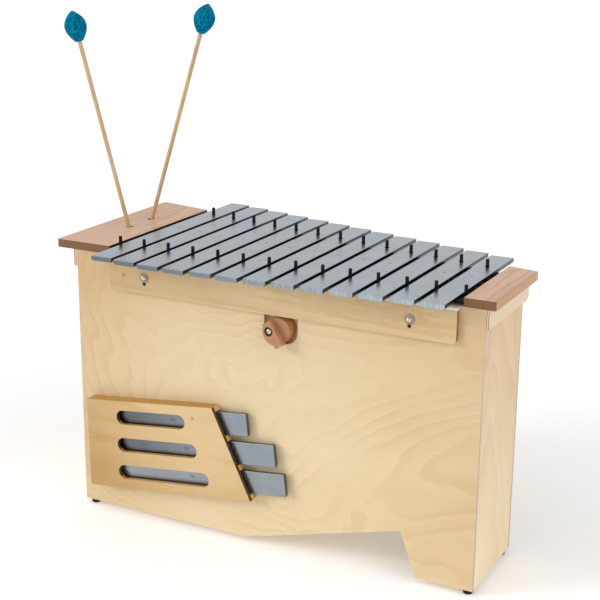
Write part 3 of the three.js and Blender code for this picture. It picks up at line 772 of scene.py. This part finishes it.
def sounding_bars():
    material = metal_bar("bar_aluminium", BAR_ALLOY, Y, UP, FRONT)
    ink = stamped()
    for number, (note, pin) in enumerate(zip(NOTES, rod_centres("rear_pins")), start=1):
        node = f"bar_{number:02d}"
        low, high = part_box(node)
        start = Vector(((low.x + high.x) / 2, low.y, low.z))
        size = (high - low) / MM
        shape = bar_shape(start, BACK, RIGHT, UP, size.y, size.x, size.z)
        piece = new_piece(f"{node}_fine", shape, material, node, [node])
        carved(piece, pin_hole(Vector((pin.x, pin.y, low.z - MM)), size.z))
        middle = Vector((start.x, (low.y + high.y) / 2 + NOTE_BEHIND_MIDDLE * MM, high.z))
        stamp(piece, note, middle, RIGHT, BACK, ink)
        evenly_shaded(piece)


def spare_bars():
    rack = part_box("rack_plate")[0].x
    ink = stamped()
    for node, (note, brightness) in SPARE_BARS.items():
        along = joint_axis(node)
        up = FRONT.cross(along)
        # Painted shade on the part that lies in the rack.
        rack_shade = (rack + 20 * MM, rack + 380 * MM, brightness)
        material = metal_bar(f"{node}_alloy", SHADED_SPARE_ALLOY, X, FRONT, along, rack_shade)
        low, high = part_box(node)
        left, right = span(node, along)
        bottom, top = span(node, up)
        length, width, thickness = (right - left) / MM, (top - bottom) / MM, (high.y - low.y) / MM
        start = along * left + up * (bottom + top) / 2
        start.y = high.y
        shape = bar_shape(start, along, -up, FRONT, length, width, thickness)
        piece = new_piece(f"{node}_fine", shape, material, node, [node])
        place = start + along * length * SPARE_NOTE_SHARE * MM
        place.y = low.y
        stamp(piece, note, place, along, up, ink)
        evenly_shaded(piece)


# ---------------------------------------------------------------- pins and felts

PIN_RADIUS = 3.5
PIN_BORE = 1.5
PIN_STRIP_THICKNESS = 1.6
FELT_EDGE = 0.8


def rod_centres(node):
    """Middles of the rods of a CAD node from left to right, found from the points at their tops."""
    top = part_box(node)[1].z
    tops = [point for point in cad_points(node) if point.z > top - 0.1 * MM]
    groups = []
    for spot in sorted(tops, key=lambda point: point.x):
        if not groups or spot.x > groups[-1][0].x + 3 * PIN_RADIUS * MM:
            groups.append([])
        groups[-1].append(spot.copy())
    return [sum(group, Vector()) / len(group) for group in groups]


def pin_row(node, material):
    """Rubber sleeves with rounded rims and a small bore in the top, sunk 1 mm into their strip."""
    low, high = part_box(node)
    height = (high.z - low.z) / MM - PIN_STRIP_THICKNESS
    shape = bmesh.new()
    for top in rod_centres(node):
        base = Vector((top.x, top.y, low.z + PIN_STRIP_THICKNESS * MM))
        sleeve = [(0, -1), (PIN_RADIUS, -1), (PIN_RADIUS, height - 3)]
        sleeve += fillet(PIN_RADIUS, height, 0.7)
        sleeve += [(PIN_BORE + 0.2, height), (PIN_BORE, height - 0.3)]
        sleeve += [(PIN_BORE, height - 1.2), (0, height - 1.2)]
        lathe(shape, sleeve, base, UP, 24)
    new_piece(f"{node}_fine", shape, material, ROOT, [node])


def pin_strip(node, material):
    """The thin strip that the pins stand on, as its own piece."""
    shape = cad_shape(node)
    strip_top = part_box(node)[0].z + PIN_STRIP_THICKNESS * MM
    above = [vertex for vertex in shape.verts if vertex.co.z > strip_top + 0.1 * MM]
    bmesh.ops.delete(shape, geom=above, context="VERTS")
    bmesh.ops.holes_fill(shape, edges=shape.edges)
    rounded(new_piece(f"{node}_strip", shape, material, ROOT), 0.3, 2)


# ---------------------------------------------------------------- screws and washers

GUIDE_SHANK = 2.4
GUIDE_HEAD_SINK = 0.3
WASHER_HOLE = 2.8
KNOB_SHANK = 2.8
KNOB_HEAD = 5.6
KNOB_HEAD_HEIGHT = 3.4
KNOB_HEAD_SINK = 1.5

# The washer under the knob's screw, as a profile from its underside, and how far below the head that lies.
KNOB_WASHER = [(2.8, 0), (8.4, 0), (8.8, 0.4), (8.8, 1.2), (8.4, 1.5), (3.2, 1.5), (2.8, 1.2), (2.8, 0)]
KNOB_WASHER_DROP = 1.6

# How far the crosses of the screws are turned, in radians.
RECESS_TURN = 0.3


def cross_recess(base, axis, reach, half, depth):
    """A cross-shaped cutter for a screw head. base is the middle of the head's top."""
    shape = bmesh.new()
    turn = UP.rotation_difference(Vector(axis)).to_matrix() @ Matrix.Rotation(RECESS_TURN, 3, "Z")
    arm = [(reach, -half), (reach, half), (half, half)]
    rings = []
    for level, share in ((-depth, 0.7), (depth, 1.0)):
        ring = []
        for quarter in range(4):
            spin = Matrix.Rotation(quarter * math.pi / 2, 3, "Z")
            for across, along in arm:
                spot = spin @ Vector((share * across, share * along, level))
                ring.append(shape.verts.new(base + turn @ spot * MM))
        rings.append(ring)
    join_rings(shape, *rings)
    for ring in rings:
        shape.faces.new(ring)
    return shape


def pan_head(node, base, radius, height, shank, length, material):
    """A pan head screw that looks to the front. base is the middle of its head's underside."""
    dome = [(0, -length), (shank, -length), (shank, 0), (radius - 0.4, 0), (radius, 0.4)]
    dome += [(radius - 0.15 * height, 0.55 * height), (radius * 0.72, 0.86 * height)]
    dome += [(radius * 0.4, 0.98 * height), (0, height)]
    shape = lathe(bmesh.new(), dome, base, FRONT, 36)
    piece = new_piece(f"{node}_fine", shape, material, ROOT, [node])
    top = base + FRONT * height * MM
    carved(piece, cross_recess(top, FRONT, radius * 0.6, radius * 0.15, height * 0.6))
    evenly_shaded(bevelled(piece, 0.12, 2, 40))


def ring_shape(profile, base, sides):
    """A turned ring that looks to the front. Its profile ends where it starts."""
    shape = lathe(bmesh.new(), profile, base, FRONT, sides)
    bmesh.ops.remove_doubles(shape, verts=shape.verts, dist=0.001 * MM)
    return shape


def guide_hardware(bright, dull):
    for side in SIDES:
        screw, washer = f"guide_screw_{side}", f"guide_washer_{side}"
        low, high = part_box(screw)
        washer_low, washer_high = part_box(washer)
        middle = (low + high) / 2
        under = washer_low.y - GUIDE_HEAD_SINK * MM
        radius = (high.x - low.x) / MM / 2
        height, length = (under - low.y) / MM, (high.y - under) / MM
        pan_head(screw, Vector((middle.x, under, middle.z)), radius, height, GUIDE_SHANK, length, bright)
        guide_washer(washer, Vector((middle.x, washer_high.y, middle.z)), dull)


def guide_washer(node, base, material):
    low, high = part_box(node)
    thickness = (high.y - low.y) / MM
    radius = (high.x - low.x) / MM / 2
    profile = [(WASHER_HOLE, 0), (radius - 0.3, 0), (radius, 0.3)]
    profile += fillet(radius, thickness, 0.5)
    profile += [(WASHER_HOLE + 0.4, thickness), (WASHER_HOLE, thickness - 0.4), (WASHER_HOLE, 0)]
    shape = ring_shape(profile, base, 48)
    evenly_shaded(new_piece(f"{node}_fine", shape, material, ROOT, [node]))


def knob_screw(bright, dull):
    """The screw's head stands on a broad washer near the mouth of the knob's counterbore."""
    low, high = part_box("knob_screw")
    middle = (low + high) / 2
    base = Vector((middle.x, low.y + KNOB_HEAD_SINK * MM, middle.z))
    length = (high.y - base.y) / MM
    pan_head("knob_screw", base, KNOB_HEAD, KNOB_HEAD_HEIGHT, KNOB_SHANK, length, bright)
    shape = ring_shape(KNOB_WASHER, base - FRONT * KNOB_WASHER_DROP * MM, 40)
    new_piece("knob_washer_fine", shape, dull, ROOT)


# ---------------------------------------------------------------- mallets

STRAND = 1.0
WINDINGS = 46
WIND_STEPS = 56
CORE_STEPS = 24
GOLDEN_SHARE = 0.381966


def egg_radius(share):
    """Radius of a mallet head over its full radius, from its stick end (0) to its tip (1)."""
    angle = math.pi * share
    return 0.27 * (1 - share) + 0.73 * math.sin(angle) ** 0.8 + 0.27 * share * math.sin(angle)


def mallet(side, wood_material, yarn_material):
    body, stick, head = f"mallet_{side}", f"mallet_stick_{side}", f"mallet_head_{side}"
    axis = joint_axis(body).normalized()
    points = cad_points(stick)
    centre = sum(points, Vector()) / len(points)
    low, high = span(stick, axis)
    foot_end = centre + axis * (low - centre.dot(axis))
    length = (high - low) / MM
    radius = radius_about(stick, foot_end, axis)
    profile = [(0, 0), (radius - 1.0, 0), (radius - 0.3, 0.3), (radius, 1.2)]
    profile += [(radius, length * step / 12) for step in range(1, 12)]
    profile += [(radius, length - 3), (radius - 0.6, length - 1), (0, length - 0.4)]
    shape = lathe(bmesh.new(), profile, foot_end, axis, 32)
    new_piece(f"{stick}_fine", shape, wood_material, body, [stick])
    low, high = span(head, axis)
    base = foot_end + axis * (low - foot_end.dot(axis))
    shape = head_shape(base, axis, (high - low) / MM, radius_about(head, base, axis))
    new_piece(f"{head}_fine", shape, yarn_material, body, [head])


def head_shape(base, axis, size, radius):
    """Yarn wound over a soft core: strands that run from end to end and cross each other."""
    core = [(0, 1.0)]
    for step in range(CORE_STEPS + 1):
        share = step / CORE_STEPS
        out = egg_radius(share) * (radius - STRAND) - STRAND * 0.6
        core.append((max(0.5, out), 1 + share * (size - 2)))
    core.append((0, size - 1.0))
    shape = lathe(bmesh.new(), core, base, axis, 40)
    turn = UP.rotation_difference(axis).to_matrix()
    for strand in range(WINDINGS):
        start = 2 * math.pi * strand * GOLDEN_SHARE
        wind(shape, base, turn, size, radius, start, 0.75 + random.uniform(-0.2, 0.9))
    return shape


def wind(shape, base, turn, size, radius, start, tilt):
    """One turn of yarn that goes up one side of the head and down the other."""
    path = []
    for step in range(WIND_STEPS):
        angle = 2 * math.pi * step / WIND_STEPS
        share = 0.5 - 0.485 * math.cos(angle)
        swing = start + tilt * math.sin(angle / 2) * math.pi + angle * 0.5
        out = egg_radius(share) * (radius - STRAND) - random.uniform(0.0, 0.5)
        height = STRAND + share * (size - 2 * STRAND)
        path.append(base + turn @ Vector((out * math.cos(swing), out * math.sin(swing), height)) * MM)
    closed_tube(shape, path, STRAND * MM)


def closed_tube(shape, path, radius, sides=5):
    """A round strand along a path that ends where it starts."""
    rings = []
    for index, spot in enumerate(path):
        ahead = (path[(index + 1) % len(path)] - path[index - 1]).normalized()
        sideways = ahead.cross(UP)
        if sideways.length < 1e-3:
            sideways = ahead.cross(RIGHT)
        sideways.normalize()
        over = sideways.cross(ahead)
        ring = []
        for side in range(sides):
            turn = 2 * math.pi * side / sides
            offset = math.cos(turn) * sideways + math.sin(turn) * over
            ring.append(shape.verts.new(spot + radius * offset))
        rings.append(ring)
    for lower, upper in zip(rings, rings[1:] + rings[:1]):
        join_rings(shape, lower, upper)


# ---------------------------------------------------------------- feet

FOOT_TAPER = 0.94
FOOT_RIM = 1.6
FOOT_HOLE = 3.2
FOOT_HOLE_DEPTH = 2.5


def foot(node, material):
    """A tapered rubber foot, turned from its top down to the screw hole in its sole."""
    low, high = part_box(node)
    radius = (high.x - low.x) / MM / 2
    height = (high.z - low.z) / MM
    top = Vector(((low.x + high.x) / 2, (low.y + high.y) / 2, high.z))
    inside = height - FOOT_HOLE_DEPTH
    profile = [(0, 0), (radius, 0), (radius, 1.5)]
    profile += fillet(radius * FOOT_TAPER, height, FOOT_RIM)
    profile += [(FOOT_HOLE + 0.4, height), (FOOT_HOLE, inside), (0, inside)]
    shape = lathe(bmesh.new(), profile, top, -UP, 40)
    evenly_shaded(new_piece(f"{node}_fine", shape, material, ROOT, [node]))


# ---------------------------------------------------------------- camera, light and floor

# Where the camera stands from the front panel's lower left corner, and its turns in radians.
CAMERA_PLACE = Vector((1665.9, -2213.2, 1266.1)) * MM
CAMERA_YAW = 0.4761
CAMERA_PITCH = 0.2878
CAMERA_ROLL = 0.0084
LENS = 80.98
SENSOR = 36.0

# Distant soft boxes: where each one is, its strength, and how wide it looks in degrees.
LIGHTS = {
    "key": ((-0.25, -0.4, 0.88), 0.6, 50),
    "side": ((-0.75, -0.6, 0.35), 1.35, 24),
    "fill": ((0.85, -0.3, 0.5), 1.05, 60),
    "rim": ((-0.44, 0.85, 0.3), 0.32, 70),
}
WHITE = (1.0, 1.0, 1.0, 1.0)
SKY_STRENGTH = 0.38
BACKDROP_STRENGTH = 1.05

# Half the floor's width in metres, its two shades of white, and how strongly it glows.
FLOOR_REACH = 60.0
FLOOR_WHITES = (0.93, 0.93, 0.93, 1.0), (0.95, 0.95, 0.95, 1.0)
FLOOR_GLOW = 0.2


def camera():
    yaw, pitch, roll = CAMERA_YAW, CAMERA_PITCH, CAMERA_ROLL
    ahead = (-math.sin(yaw) * math.cos(pitch), math.cos(yaw) * math.cos(pitch), -math.sin(pitch))
    ahead = Vector(ahead)
    right = Vector((math.cos(yaw), math.sin(yaw), 0))
    up = right.cross(ahead)
    turned_right = right * math.cos(roll) + up * math.sin(roll)
    turned_up = up * math.cos(roll) - right * math.sin(roll)
    data = bpy.data.cameras.new("camera")
    data.lens = LENS
    data.sensor_width = SENSOR
    data.clip_end = 100
    item = bpy.data.objects.new("camera", data)
    item.rotation_mode = "QUATERNION"
    item.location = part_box("front_panel")[0] + CAMERA_PLACE
    item.rotation_quaternion = Matrix((turned_right, turned_up, -ahead)).transposed().to_quaternion()
    bpy.context.scene.collection.objects.link(item)
    bpy.context.scene.camera = item


def soft_light(name, towards, strength, spread):
    data = bpy.data.lights.new(name, "SUN")
    data.energy = strength
    data.angle = math.radians(spread)
    item = bpy.data.objects.new(name, data)
    item.rotation_mode = "QUATERNION"
    item.rotation_quaternion = Vector(towards).to_track_quat("Z", "Y")
    bpy.context.scene.collection.objects.link(item)


def studio():
    """Soft boxes, and a sky that lights softly but shows the camera a white backdrop."""
    for name, settings in LIGHTS.items():
        soft_light(name, *settings)
    world = bpy.data.worlds.new("studio")
    world.use_nodes = True
    tree = world.node_tree
    soft = tree.nodes["Background"]
    soft.inputs["Color"].default_value = WHITE
    soft.inputs["Strength"].default_value = SKY_STRENGTH
    white = tree.nodes.new("ShaderNodeBackground")
    white.inputs["Strength"].default_value = BACKDROP_STRENGTH
    seen = tree.nodes.new("ShaderNodeLightPath")
    chosen = tree.nodes.new("ShaderNodeMixShader")
    tree.links.new(seen.outputs["Is Camera Ray"], chosen.inputs[0])
    tree.links.new(soft.outputs[0], chosen.inputs[1])
    tree.links.new(white.outputs[0], chosen.inputs[2])
    tree.links.new(chosen.outputs[0], tree.nodes["World Output"].inputs["Surface"])
    bpy.context.scene.world = world
    bpy.context.scene.view_settings.view_transform = "Standard"


def floor():
    graph = Graph("floor", Roughness=0.9, Specular_IOR_Level=0.1)
    graph.shader.inputs["Emission Color"].default_value = WHITE
    graph.shader.inputs["Emission Strength"].default_value = FLOOR_GLOW
    material = graph.finish(graph.mix(graph.noise(graph.point, 40.0), *FLOOR_WHITES))
    mesh = bpy.data.meshes.new("floor")
    shape = bmesh.new()
    bmesh.ops.create_grid(shape, x_segments=4, y_segments=4, size=FLOOR_REACH)
    shape.to_mesh(mesh)
    shape.free()
    mesh.materials.append(material)
    ground = bpy.data.objects.new("floor", mesh)
    bpy.context.scene.collection.objects.link(ground)


# ---------------------------------------------------------------- everything


def build():
    box_panels()
    inner_boards()
    end_blocks()
    rack_parts()
    damper_board()
    knob()
    sounding_bars()
    spare_bars()
    rubber = black_rubber()
    for node in ("front_pins", "rear_pins"):
        pin_row(node, rubber)
        pin_strip(node, rubber)
    black = felt("black_felt", *BLACK_FELT)
    for node in ("front_rail_felt", "rear_rail_felt"):
        refined(node, black, ROOT, FELT_EDGE, segments=3)
    white = felt("white_felt", *WHITE_FELT)
    refined("damper_felt", white, "damper", FELT_EDGE, segments=3)
    bright = steel("bright_steel", *BRIGHT_STEEL)
    guide_hardware(bright, steel("washer_steel", *WASHER_STEEL))
    knob_screw(bright, steel("dark_steel", *DARK_STEEL))
    stick, wool = stick_wood(), yarn()
    for side in SIDES:
        mallet(side, stick, wool)
    for node in ("foot_front_left", "foot_front_right", "foot_rear_left", "foot_rear_right"):
        foot(node, rubber)


camera()
studio()
floor()
build()
